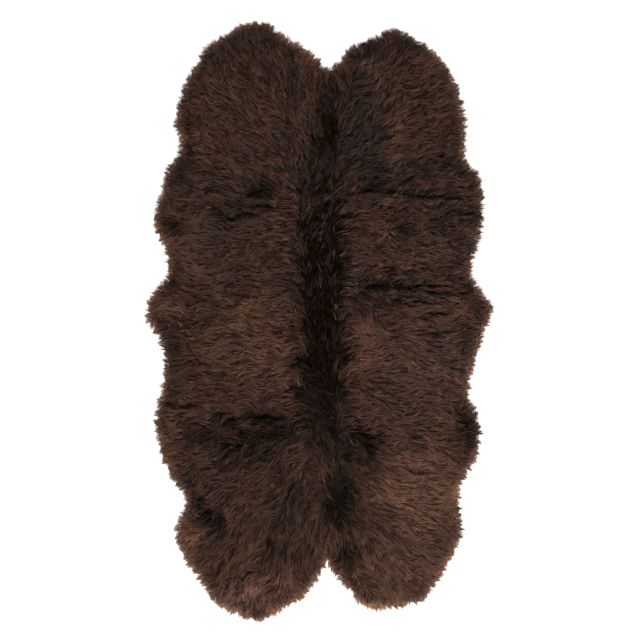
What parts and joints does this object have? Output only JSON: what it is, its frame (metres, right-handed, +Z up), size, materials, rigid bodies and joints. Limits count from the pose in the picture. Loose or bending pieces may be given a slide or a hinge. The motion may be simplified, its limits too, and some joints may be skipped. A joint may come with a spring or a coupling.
{
  "type": "sheepskin rug",
  "caption": "Long-wool sheepskin floor rug of sewn pelts, with scalloped sides, notched ends and a parting along the centre seam.",
  "frame": {"origin": "bottom centre of the rug's bounding box, on the floor", "axes": "+X across the rug to the right of the picture, +Y along the rug to the top of the picture, +Z up out of the wool"},
  "size_m": [1.065, 1.831, 0.0511],
  "materials": {
    "suede_upper_left": "tanned flesh side, matt",
    "suede_upper_right": "tanned flesh side, matt",
    "suede_lower_left": "tanned flesh side, matt",
    "suede_lower_right": "tanned flesh side, matt",
    "wool_upper_left": "long dyed wool",
    "wool_upper_right": "long dyed wool",
    "wool_lower_left": "long dyed wool",
    "wool_lower_right": "long dyed wool"
  },
  "bodies": {
    "root": {"hide_upper_left": "suede_upper_left", "hide_upper_right": "suede_upper_right", "hide_lower_left": "suede_lower_left", "hide_lower_right": "suede_lower_right", "fleece_upper_left": "wool_upper_left", "fleece_upper_right": "wool_upper_right", "fleece_lower_left": "wool_lower_left", "fleece_lower_right": "wool_lower_right"}
  },
  "joints": []
}
